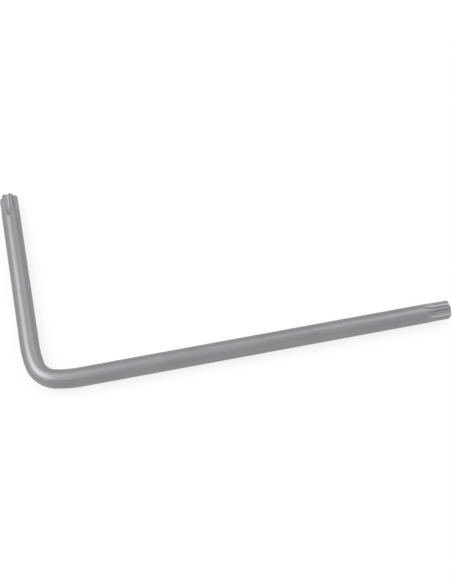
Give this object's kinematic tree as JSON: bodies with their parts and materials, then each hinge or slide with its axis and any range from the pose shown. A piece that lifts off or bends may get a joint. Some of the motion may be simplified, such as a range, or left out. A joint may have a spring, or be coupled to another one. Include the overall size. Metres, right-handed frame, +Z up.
{
  "type": "star wrench",
  "caption": "L-shaped star wrench bent from round satin steel bar, with a lobed star drive tip cut on the end of each arm for turning star-recess screws.",
  "frame": {"origin": "under the middle of the rectangle that the wrench covers when it lies flat, on the surface that it lies on", "axes": "+X along the long arm towards its tip, +Y along the short arm towards its tip, +Z up from the surface that the wrench lies on"},
  "size_m": [0.125, 0.07, 0.0056],
  "materials": {
    "satin_steel": "satin"
  },
  "bodies": {
    "root": {"wrench_bar": "satin_steel"}
  },
  "joints": []
}
